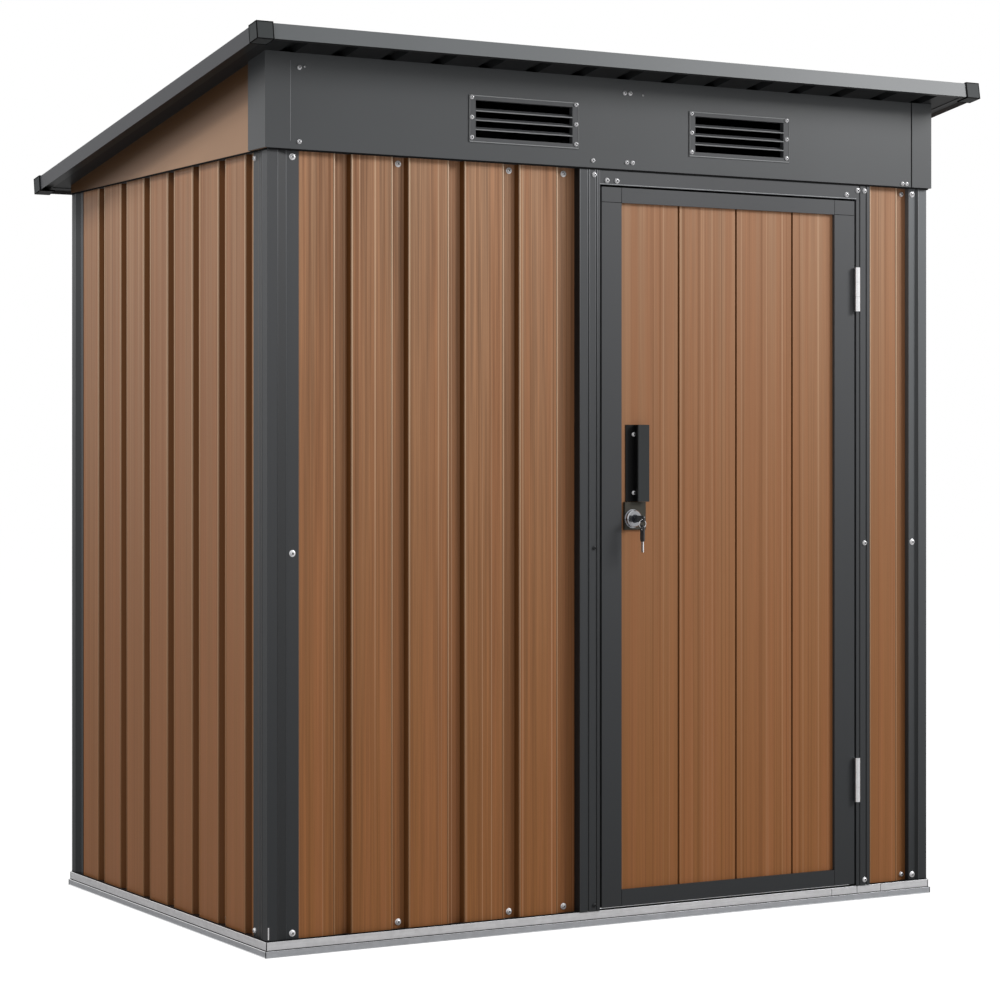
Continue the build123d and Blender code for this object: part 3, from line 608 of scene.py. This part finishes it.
def screw_valleys(name, along, depth):
    """Middles of every second valley of a wall sheet, between the edges of its outer ridges."""
    points = corners(name)
    reach = points[:, depth] * np.sign(points[:, depth].mean())
    ridges = points[reach > reach.max() - SAME_LEVEL, along]
    edges = np.unique(np.round(ridges, 4))[1:-1]
    return ((edges[0::2] + edges[1::2]) / 2)[1::2]


def wall_seats(columns, out=-BACK, along=ACROSS):
    """Seats on the outside of a wall for columns of screws, each a node, a place and its heights."""
    return [
        on_surface(name, along * place + out * FAR + UP * height, -out)
        for name, place, heights in columns
        for height in heights
    ]


def vent_spans():
    """Left and right edges of the two vent frames, one on each side of the fascia's joint."""
    across = corners("vent_frames")[:, 0]
    on_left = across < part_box("fascia_left")[1].x
    return [(float(half.min()), float(half.max())) for half in (across[on_left], across[~on_left])]


class SHED_OT_wood(Operator):
    """Paint the wall sheets and the door panel with the wood print, and the gables with a plain brown coat"""

    bl_idname = "shed.wood"
    bl_label = "Wood print"

    def execute(self, context):
        for name, facing, contrast in (
            ("front_wall_sheet", "Y", 2.4),
            ("front_narrow_sheet", "Y", 1.2),
            ("back_wall_sheet", "Y", 1.5),
            ("door_panel", "Y", 0.9),
            ("left_wall_sheet", "X", 1.1),
            ("right_wall_sheet", "X", 1.1),
        ):
            dress([name], wood_finish(name, facing, contrast))
        dress(("gable_left", "gable_right"), gable_finish("plain_brown"))
        return {"FINISHED"}


class SHED_OT_anthracite(Operator):
    """Paint the posts, rails, door frame, fascia and roof"""

    bl_idname = "shed.anthracite"
    bl_label = "Anthracite coat"

    def execute(self, context):
        paints = context.scene.shed_paints
        high, low = paints.frame_lit_high, paints.frame_shaded_low
        starts = ("corner_post", "door_post_hinge", "door_lintel", "door_lock_stile", "door_hinge_stile")
        starts += ("door_top_rail", "door_bottom_rail", "top_rail", "vent")
        frame_nodes = [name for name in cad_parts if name.startswith(starts)]
        dress(frame_nodes, coat_finish("anthracite_coat", high, low))
        # Painted shade: the lock post's side that faces left is near black
        dress(["door_post_lock_side"], coat_finish("anthracite_shaded_flank", high, low, shaded_side="X"))
        # Painted light: a lighter copy of the anthracite on the front right post
        dress(["corner_post_front_right"], coat_finish("anthracite_lit_head", paints.lit_right_post_head, low))

        fascia = [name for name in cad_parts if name.startswith("fascia")]
        front = paints.fascia
        # Painted shade: the undersides of the fascia, trims and roof sheet, and the trims' inner faces, go
        # near black
        dress(fascia, coat_finish("fascia_coat", front, front, roughness=0.36, specular=0.35, shaded_side="Z"))
        hidden = {"roughness": 0.4, "specular": 0.3, "shaded_side": "Z", "shaded_inside": True}
        # Painted light: the front trim gets the lit copy of the trim coat, the others the shaded copy
        for names, finish, colour in (
            (ROOF_TRIMS[:1], "roof_trim_coat", paints.roof_trim),
            (ROOF_TRIMS[1:], "roof_side_coat", paints.shaded_roof_side),
        ):
            dress(names, coat_finish(finish, colour, colour, **hidden))
        dress(["roof_sheet"], coat_finish("roof_sheet_coat", high, high, shaded_side="Z"))
        cap = paints.roof_cap
        dress(["roof_corner_caps"], coat_finish("roof_cap_moulding", cap, cap, roughness=0.6))
        return {"FINISHED"}


class SHED_OT_metals(Operator):
    """Finish the base rails, the beam, the hinges, the handle, the lock and the keys"""

    bl_idname = "shed.metals"
    bl_label = "Metal finishes"

    def execute(self, context):
        paints = context.scene.shed_paints
        dress(BASE_RAILS, rail_finish("zinc_rail_coat"))
        dress(["roof_beam", "lock_cam"], metal_finish("zinc_coat", paints.zinc, 0.42, 0.35, spangle=0.14))
        bright = metal_finish("bright_plating", paints.bright, 0.22, 1.0, spangle=0.05)
        dress(["hinge_post_leaves", "hinge_door_leaves", "key_ring"], bright)
        metal_finish("screw_zinc", paints.bright, 0.3, 0.4, spangle=0.05)
        coat_finish("joint_and_shade_black", paints.black, paints.black, roughness=0.8, specular=0.1)
        dress(["lock_plug"], metal_finish("lock_plug_coat", paints.plug, 0.35, 0.4))
        dress(["lock_case"], coat_finish("lock_case_coat", paints.case, paints.case, roughness=0.5))

        # Each changes at one level: axis, level, colours, metal below and above, roughness, specular
        bezel_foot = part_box("lock_case")[0].y - 0.0025
        handle_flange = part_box("door_handle")[0].y + 0.004
        key_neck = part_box("lock_plug")[0].y - 0.001
        spare_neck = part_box("spare_key")[1].z - 0.035
        chrome, black, grip, bow, plated = paints.chrome, paints.black, paints.grip, paints.bow, paints.bright
        for name, finish, *settings in (
            # Painted shadow: the bezel's foot is black as a ring of shade round it
            ("lock_barrel", "lock_bezel", "Y", bezel_foot, (chrome, black), (1.0, 0.0), 0.16, 0.5),
            # Painted shade: the handle's base and web behind the grip are black
            ("door_handle", "handle_coat", "Y", handle_flange, (grip, black), (0.0, 0.0), 0.5, 0.15),
            ("door_key", "door_key_metal", "Y", key_neck, (bow, plated), (0.0, 1.0), 0.35, 0.5),
            ("spare_key", "spare_key_metal", "Z", spare_neck, (plated, bow), (1.0, 0.0), 0.35, 0.5),
        ):
            dress([name], two_tone_finish(finish, *settings))
        return {"FINISHED"}


class SHED_OT_folds(Operator):
    """Add the rounded folds along the ribs, the posts, the trims and the base rails; the pale ones are
    painted highlights
    """

    bl_idname = "shed.folds"
    bl_label = "Folds"

    def execute(self, context):
        paints = context.scene.shed_paints
        folds = context.scene.shed_folds
        # Painted highlights: the strips along the rib edges are pale, standing for light caught on the folds
        wood = coat_finish("wood_highlight_coat", paints.rib_highlight_high, paints.rib_highlight_low, roughness=0.4)
        for name in WALLS:
            facing = SIDES[name.split("_")[0]]
            add_piece(f"{name}_folds", beads(name, [facing], folds.fold), wood, "shed")
        self.add_frame_folds(paints, folds)
        strips = beads("roof_corner_caps", SIDES.values(), folds.crease, share=0.015)
        add_piece("roof_cap_edges", strips, bpy.data.materials["joint_and_shade_black"], "shed")
        self.add_rail_folds(folds)
        return {"FINISHED"}

    def add_frame_folds(self, paints, folds):
        """The folds of the corner posts, lock post and lintel, and one along the left fascia trim, all pale
        as painted highlights.
        """
        strips = []
        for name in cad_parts:
            if name.startswith("corner_post"):
                facings = [SIDES[word] for word in name.split("_")[2:]]
                strips.append(beads(name, facings, folds.crease, shallow=True))
        strips += [beads(name, [-BACK], folds.crease) for name in ("door_post_lock_side", "door_lintel")]
        # Painted highlight: a pale strip along the left fascia trim's edge
        foot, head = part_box("fascia_trim_left")
        edge = (head.x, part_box("fascia_left")[0].y)
        margin = 0.016
        ends = [(*edge, foot.z + margin)], [(*edge, head.z - margin)]
        strips.append(cords(*ends, -BACK, folds.crease * 2, folds.crease * 0.4))
        tones = (paints.crease_highlight_high, paints.crease_highlight_low)
        coat = coat_finish("frame_highlight_coat", *tones, roughness=0.4, specular=0.3, fade=4.0)
        add_piece("frame_folds", np.concatenate(strips), coat, "shed")

    def add_rail_folds(self, folds):
        """The folds of the base rails: those of the left rail are bright painted highlights, with a short
        painted highlight strip at its front corner.
        """
        radius = folds.crease * 0.7
        strips = [beads(name, [SIDES[name.split("_")[2]]], radius, share=0.8) for name in BASE_RAILS]
        zinc = bpy.data.materials["zinc_rail_coat"]
        add_piece("base_rail_folds", np.concatenate(strips[:3]), zinc, "shed")
        corner = Vector((body_left + 0.003, body_front, rail_ledge))
        corner_glint = cords([corner + UP * 0.005], [corner + UP * 0.029], -BACK, 0.003, 0.0009)
        bright = bpy.data.materials["bright_plating"]
        fold_highlights = np.concatenate([strips[3], corner_glint])
        add_piece("base_rail_fold_highlights", fold_highlights, bright, "shed")


class SHED_OT_wall_screws(Operator):
    """Add the screws of the walls, posts, doorway and handle"""

    bl_idname = "shed.wall_screws"
    bl_label = "Wall screws"

    def execute(self, context):
        screws = context.scene.shed_screws
        top = wall_top - screws.top_inset
        ends = (top, screws.bottom)
        rows = (top, screws.middle, screws.bottom)
        self.add_front(screws, ends, rows)
        self.add_doorway(screws, ends, rows)
        self.add_back_and_sides(screws, ends, rows)
        low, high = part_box("door_handle")
        grips = [("door_handle", low.x + 0.0205, (high.z - 0.0205, low.z + 0.0190))]
        add_screws("handle_screws", wall_seats(grips), -BACK, screws.trim_head, "door")
        return {"FINISHED"}

    def add_front(self, screws, ends, rows):
        """Washered screws of the front sheet and its posts, each column at a distance from an edge."""
        columns = [
            ("corner_post_front_left", body_left + 0.0575, rows),
            ("corner_post_front_right", body_right - 0.0365, rows),
            ("front_wall_sheet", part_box("door_post_lock_side")[0].x - 0.027, ends),
        ]
        columns += [("front_wall_sheet", place, ends) for place in screw_valleys("front_wall_sheet", 0, 1)]
        add_screws("front_screws", wall_seats(columns), -BACK, screws.head, washer=screws.washer)

    def add_doorway(self, screws, ends, rows):
        """Screws of the door posts, the lintel and the narrow sheet, each at a distance from an edge."""
        lock_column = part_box("door_post_lock_side")[0].x + 0.0355
        hinge_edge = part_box("door_post_hinge_side")[1].x
        lintel_low, lintel_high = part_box("door_lintel")
        lintel_row = (lintel_high.z - 0.0237,)
        columns = [
            ("front_narrow_sheet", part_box("front_narrow_sheet")[1].x - 0.0255, ends),
            ("door_post_hinge_side", hinge_edge - 0.0145, rows),
            ("door_post_hinge_side", hinge_edge - 0.0335, rows[:1]),
            ("door_post_lock_side", lock_column, rows[:1]),
            ("door_lintel", lintel_low.x + 0.0182, lintel_row),
            ("door_lintel", lintel_low.x + 0.0428, lintel_row),
            ("door_lintel", lintel_high.x - 0.0268, lintel_row),
        ]
        add_screws("doorway_screws", wall_seats(columns), -BACK, screws.frame_head)
        lower = wall_seats([("door_post_lock_side", lock_column, rows[1:])])
        add_screws("lock_post_screws", lower, -BACK, screws.trim_head, coat="anthracite_coat")

    def add_back_and_sides(self, screws, ends, rows):
        """Screws of the back and the side walls, in the same way."""
        columns = [("back_wall_sheet", place, ends) for place in screw_valleys("back_wall_sheet", 0, 1)]
        columns += [("corner_post_back_left", body_left + 0.050, rows)]
        columns += [("corner_post_back_right", body_right - 0.050, rows)]
        add_screws("back_screws", wall_seats(columns, BACK), BACK, screws.head, washer=screws.washer)
        for side in ("left", "right"):
            wall = f"{side}_wall_sheet"
            columns = [(wall, place, ends) for place in screw_valleys(wall, 1, 0)]
            columns += [(f"corner_post_front_{side}", body_front + 0.070, ends)]
            places = wall_seats(columns, SIDES[side], BACK)
            add_screws(f"{side}_screws", places, SIDES[side], screws.frame_head)


class SHED_OT_fascia_screws(Operator):
    """Add the small screws of the fascia and the vents"""

    bl_idname = "shed.fascia_screws"
    bl_label = "Fascia screws"

    def execute(self, context):
        screws = context.scene.shed_screws
        left, right = "fascia_left", "fascia_right"
        foot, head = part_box(left)
        joint, high, low, lowest = head.x, head.z - 0.0290, foot.z + 0.0150, foot.z + 0.0070
        columns = (
            (left, body_left + 0.0670, (high, low)),
            (left, joint - 0.0066, (high,)),
            (right, joint + 0.0068, (high,)),
            (left, joint - 0.0015, (low,)),
            (right, joint + 0.0130, (low,)),
            (left, joint - 0.0860, (low,)),
            (right, body_right - 0.0737, (lowest,)),
            (right, body_right - 0.0617, (lowest,)),
        )
        add_screws("fascia_screws", wall_seats(columns), -BACK, screws.trim_head)
        pins = (
            (left, body_left + 0.0787, (foot.z + 0.1648,)),
            (right, joint + 0.0391, (foot.z + 0.1604,)),
        )
        add_screws("fascia_pins", wall_seats(pins), -BACK, screws.pin)
        foot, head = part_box("vent_frames")
        rows = (head.z - 0.0050, (foot.z + head.z) / 2 + 0.0025, foot.z + 0.0100)
        columns = [
            ("vent_frames", across, rows)
            for start, end in vent_spans()
            for across in (start + 0.0065, end - 0.0075)
        ]
        add_screws("vent_screws", wall_seats(columns), -BACK, screws.trim_head)
        return {"FINISHED"}


class SHED_OT_lips(Operator):
    """Add the rolled lips of the vent frames and the louvres, pale as painted highlights"""

    bl_idname = "shed.lips"
    bl_label = "Vent lips"

    def execute(self, context):
        folds = context.scene.shed_folds
        lip = context.scene.shed_paints.lip
        low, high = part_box("vent_frames")
        face, inset = low.y + folds.lip * 0.3, 0.0015
        foot, head = low.z + inset, high.z - inset
        starts, ends = [], []
        for left, right in vent_spans():
            left, right = left + inset, right - inset
            loop = [(left, face, foot), (right, face, foot), (right, face, head), (left, face, head)]
            starts += loop
            ends += loop[1:] + loop[:1]
        blades = corners("vent_louvres")
        fronts = blades[blades[:, 1] < blades[:, 1].min() + SAME_LEVEL]
        row = np.unique(np.round(fronts[:, 0], 4))
        for height in np.unique(np.round(fronts[:, 2], 4)):
            starts += [(left, fronts[0, 1], height) for left in row[0::2]]
            ends += [(right, fronts[0, 1], height) for right in row[1::2]]
        # Painted highlights: the lips are pale, standing for light caught on the edges
        coat = coat_finish("lip_highlight_coat", lip, lip, roughness=0.35)
        strips = cords(starts, ends, -BACK, folds.lip * 2, folds.lip)
        add_piece("vent_lips", strips, coat, "shed")
        return {"FINISHED"}


class SHED_OT_joints(Operator):
    """Add the dark joint lines of the door leaf and the frame, and the painted shadow lines under the fascia
    and gables, on the base rails and beside the right fascia trim
    """

    bl_idname = "shed.joints"
    bl_label = "Joint lines"

    def execute(self, context):
        folds = context.scene.shed_folds
        dark = bpy.data.materials["joint_and_shade_black"]
        add_piece("door_joint_lines", self.door_lines(folds), dark, "door")
        add_piece("fascia_shadow_bands", np.concatenate(self.shadow_bands(folds)), dark, "shed")
        # Joint lines of the rail corners and seams, together with painted shadow lines on the rails and
        # beside the fascia trim
        strips = self.rail_shadow_lines(folds) + self.corner_lines(folds) + self.seams(folds)
        add_piece("frame_joint_and_shadow_lines", np.concatenate(strips), dark, "shed")
        return {"FINISHED"}

    def door_lines(self, folds):
        """Lines where the rails of the door leaf meet its stiles."""
        rail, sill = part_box("door_top_rail"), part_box("door_bottom_rail")
        lock_stile, hinge_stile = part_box("door_lock_stile"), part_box("door_hinge_stile")
        face = lock_stile[0].y
        starts, ends = [], []
        for left, right in (lock_stile, hinge_stile):
            starts.append((left.x, face, rail[0].z))
            ends.append((right.x, face, rail[0].z))
        for across in (lock_stile[1].x, hinge_stile[0].x):
            for low, high in (rail, sill):
                starts.append((across, face, low.z))
                ends.append((across, face, high.z))
        return cords(starts, ends, -BACK, folds.joint, folds.proud)

    def shadow_bands(self, folds):
        """Painted shadow: dark bands along the foot of the fascia and of both gables."""
        overlap, sunk = 0.0004, 0.001
        drop = UP * (folds.shadow_band / 2 - overlap)
        fascia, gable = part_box("fascia_left")[0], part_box("gable_left")
        start, end = (Vector((x, fascia.y + 0.0012, fascia.z)) - drop for x in (body_left, body_right))
        strips = [cords([start], [end], -BACK, folds.shadow_band, 0.0011)]
        for side, out in ((gable[0].x, -1), (-gable[0].x, 1)):
            x = side - out * sunk
            start, end = (Vector((x, corner.y, gable[0].z)) - drop for corner in gable)
            strips.append(cords([start], [end], ACROSS * out, folds.shadow_band, 0.0009))
        return strips

    def rail_shadow_lines(self, folds):
        """Painted shadow lines along the step and the ledge of the base rails, and beside the right fascia
        trim.
        """
        fascia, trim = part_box("fascia_left")[0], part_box("fascia_trim_right")
        edge = trim[0].x - folds.joint
        ends = [(edge, fascia.y, trim[0].z)], [(edge, fascia.y, trim[1].z)]
        ledge_inset = body_left - rail_low.x
        return [
            cords(*ends, -BACK, folds.joint * 2, folds.proud * 2),
            self.ring(RAIL_SETBACK, rail_step + 0.0006, folds.joint * 1.6, folds.proud * 2),
            self.ring(ledge_inset, rail_ledge + 0.0012, 0.003, 0.0012),
        ]

    def ring(self, inset, height, width, proud):
        """Four strips round the foot of the shed, set in from the base rails' outer faces."""
        left, front = rail_low.x + inset, rail_low.y + inset
        right, back = rail_high.x - inset, rail_high.y - inset
        loop = [(left, front, height), (right, front, height), (right, back, height), (left, back, height)]
        return cords(loop, loop[1:] + loop[:1], [-BACK, ACROSS, BACK, -ACROSS], width, proud)

    def corner_lines(self, folds):
        """Upright lines at the corners of the base rails, one on each band."""
        strips = []
        for x, across in ((rail_low.x, -ACROSS), (rail_high.x, ACROSS)):
            for y, along in ((rail_low.y, -BACK), (rail_high.y, BACK)):
                out = across + along
                foot = Vector((x, y, 0))
                step = foot - out * RAIL_SETBACK
                starts = [foot, step + UP * rail_step]
                ends = [foot + UP * rail_step, step + UP * rail_ledge]
                strips.append(cords(starts, ends, out.normalized(), folds.joint * 1.6, folds.joint * 0.6))
        return strips

    def seams(self, folds):
        """Upright seams of the front base rail, at three distances from the shed's left corner."""
        ledge = rail_low.y + RAIL_SETBACK
        strips = []
        for distance in (1.380, 1.450, 1.516):
            across = body_left + distance
            ends = [(across, ledge, rail_step)], [(across, ledge, rail_ledge)]
            strips.append(cords(*ends, -BACK, folds.joint, folds.proud * 2))
        return strips


class SHED_OT_stage(Operator):
    """Set the camera, the lamps, the pale floor and the white surroundings"""

    bl_idname = "shed.stage"
    bl_label = "Studio"

    def execute(self, context):
        stage = context.scene.shed_stage
        scene = context.scene
        scene.view_settings.view_transform = "Standard"
        self.add_camera(scene, stage)
        self.light_sky(scene, stage.sky)
        self.add_lamp(scene, "key_lamp", (4.8, -4.4, 4.0), (0.2, -0.3, 1.2), 2.0, stage.key_power)
        self.add_lamp(scene, "side_lamp", (-3.8, -0.6, 5.4), (-0.8, 0, 1.1), 1.4, stage.side_power)
        self.add_floor(scene, stage.floor_size / 2)
        return {"FINISHED"}

    def add_camera(self, scene, stage):
        """The level camera of the main view."""
        camera = bpy.data.objects.new("camera", bpy.data.cameras.new("camera"))
        camera.location = stage.camera_place
        camera.rotation_euler = stage.camera_turn
        camera.data.lens = stage.focal_length
        camera.data.sensor_width = 36
        camera.data.shift_y = stage.lens_rise
        scene.collection.objects.link(camera)
        scene.camera = camera

    def light_sky(self, scene, strength):
        """Even light all round, seen as plain white by the camera and in reflections."""
        scene.world = bpy.data.worlds.new("surroundings")
        tree = empty_tree(scene.world)
        path = node(tree, "LightPath")
        seen = maths(tree, "MAXIMUM", path.outputs["Is Camera Ray"], path.outputs["Is Glossy Ray"])
        seen = maths(tree, "MAXIMUM", seen, path.outputs["Is Transmission Ray"])
        level = ramp(tree, seen, 0, 1, strength, 1)
        light = node(tree, "Background", {"Color": (1, 1, 1, 1), "Strength": level})
        node(tree, "OutputWorld", {"Surface": light.outputs[0]})

    def add_lamp(self, scene, name, place, aim, size, power):
        """A square lamp that looks at a point."""
        lamp = bpy.data.objects.new(name, bpy.data.lights.new(name, "AREA"))
        lamp.data.size = size
        lamp.data.energy = power
        lamp.location = place
        lamp.rotation_euler = (Vector(aim) - Vector(place)).to_track_quat("-Z", "Y").to_euler()
        scene.collection.objects.link(lamp)

    def add_floor(self, scene, half):
        """A pale floor that keeps the shed's shadow and fades into the white surroundings."""
        mesh = bpy.data.meshes.new("floor")
        drop = -0.0005
        edge = [(-half, -half, drop), (half, -half, drop), (half, half, drop), (-half, half, drop)]
        mesh.from_pydata(edge, [], [(0, 1, 2, 3)])
        floor = bpy.data.objects.new("floor", mesh)
        material = bpy.data.materials.new("floor_paint")
        tree = empty_tree(material)
        matt = node(tree, "BsdfDiffuse", {"Color": (0.55, 0.55, 0.55, 1)})
        faint = node(tree, "BsdfDiffuse", {"Color": (0.2, 0.2, 0.2, 1)})
        white = node(tree, "Emission", {"Color": (1, 1, 1, 1), "Strength": 0.9})
        seen = node(tree, "AddShader", {0: faint.outputs[0], 1: white.outputs[0]})
        path = node(tree, "LightPath")
        ends = {"Fac": path.outputs["Is Camera Ray"], 1: matt.outputs[0], 2: seen.outputs[0]}
        surface = node(tree, "MixShader", ends)
        node(tree, "OutputMaterial", {"Surface": surface.outputs[0]})
        mesh.materials.append(material)
        scene.collection.objects.link(floor)


class SHED_PT_sidebar(Panel):
    """Sidebar panel with the shed's sizes, colours and steps"""

    bl_idname = "SHED_PT_sidebar"
    bl_label = "Metal storage shed"
    bl_space_type = "VIEW_3D"
    bl_region_type = "UI"
    bl_category = "Shed"

    def draw(self, context):
        for operator in OPERATORS:
            self.layout.operator(operator.bl_idname)
        for group_name, group in GROUPS.items():
            box = self.layout.box()
            settings = getattr(context.scene, group_name)
            for prop in group.__annotations__:
                box.prop(settings, prop)


GROUPS = {
    "shed_paints": ShedPaints,
    "shed_screws": ShedScrews,
    "shed_folds": ShedFolds,
    "shed_stage": ShedStage,
}
OPERATORS = (
    SHED_OT_wood,
    SHED_OT_anthracite,
    SHED_OT_metals,
    SHED_OT_folds,
    SHED_OT_wall_screws,
    SHED_OT_fascia_screws,
    SHED_OT_lips,
    SHED_OT_joints,
    SHED_OT_stage,
)


def register():
    """Register the classes and keep the settings on the scene."""
    for made in (*GROUPS.values(), *OPERATORS, SHED_PT_sidebar):
        bpy.utils.register_class(made)
    for name, group in GROUPS.items():
        setattr(bpy.types.Scene, name, PointerProperty(type=group))


def unregister():
    """Take the settings and the classes away again."""
    for name in GROUPS:
        delattr(bpy.types.Scene, name)
    for made in (SHED_PT_sidebar, *reversed(OPERATORS), *reversed(GROUPS.values())):
        bpy.utils.unregister_class(made)


def main():
    """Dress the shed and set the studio."""
    register()
    bpy.ops.shed.wood()
    bpy.ops.shed.anthracite()
    bpy.ops.shed.metals()
    bpy.ops.shed.folds()
    bpy.ops.shed.wall_screws()
    bpy.ops.shed.fascia_screws()
    bpy.ops.shed.lips()
    bpy.ops.shed.joints()
    bpy.ops.shed.stage()


if __name__ == "__main__":
    main()
